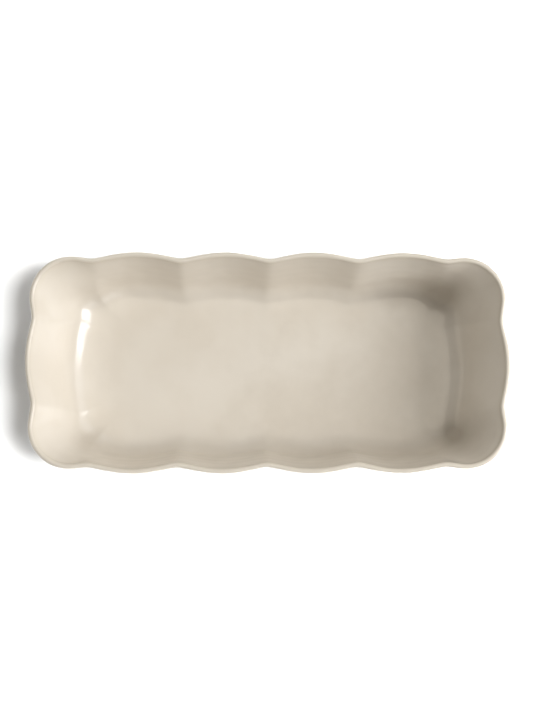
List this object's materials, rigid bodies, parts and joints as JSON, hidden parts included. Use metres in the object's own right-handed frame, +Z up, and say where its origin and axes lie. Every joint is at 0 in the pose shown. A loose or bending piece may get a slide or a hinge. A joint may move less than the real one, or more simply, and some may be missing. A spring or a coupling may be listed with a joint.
{
  "type": "scalloped serving dish",
  "caption": "Deep rectangular glazed stoneware serving dish with a scalloped wall, rounded lip, flared ends, flat floor and a bare foot ring.",
  "frame": {"origin": "on the table surface, under the middle of the dish", "axes": "+X along the length, +Y across the width, +Z up out of the dish"},
  "size_m": [0.315, 0.1446, 0.06],
  "materials": {
    "bare_clay": "matt fired clay with fine grit",
    "cream_glaze": "glossy warm cream glaze",
    "underside_glaze": "thinner glossy cream glaze"
  },
  "bodies": {
    "root": {"stoneware_body": "bare_clay", "glaze_coat": "cream_glaze", "underside_glaze": "underside_glaze"}
  },
  "joints": []
}
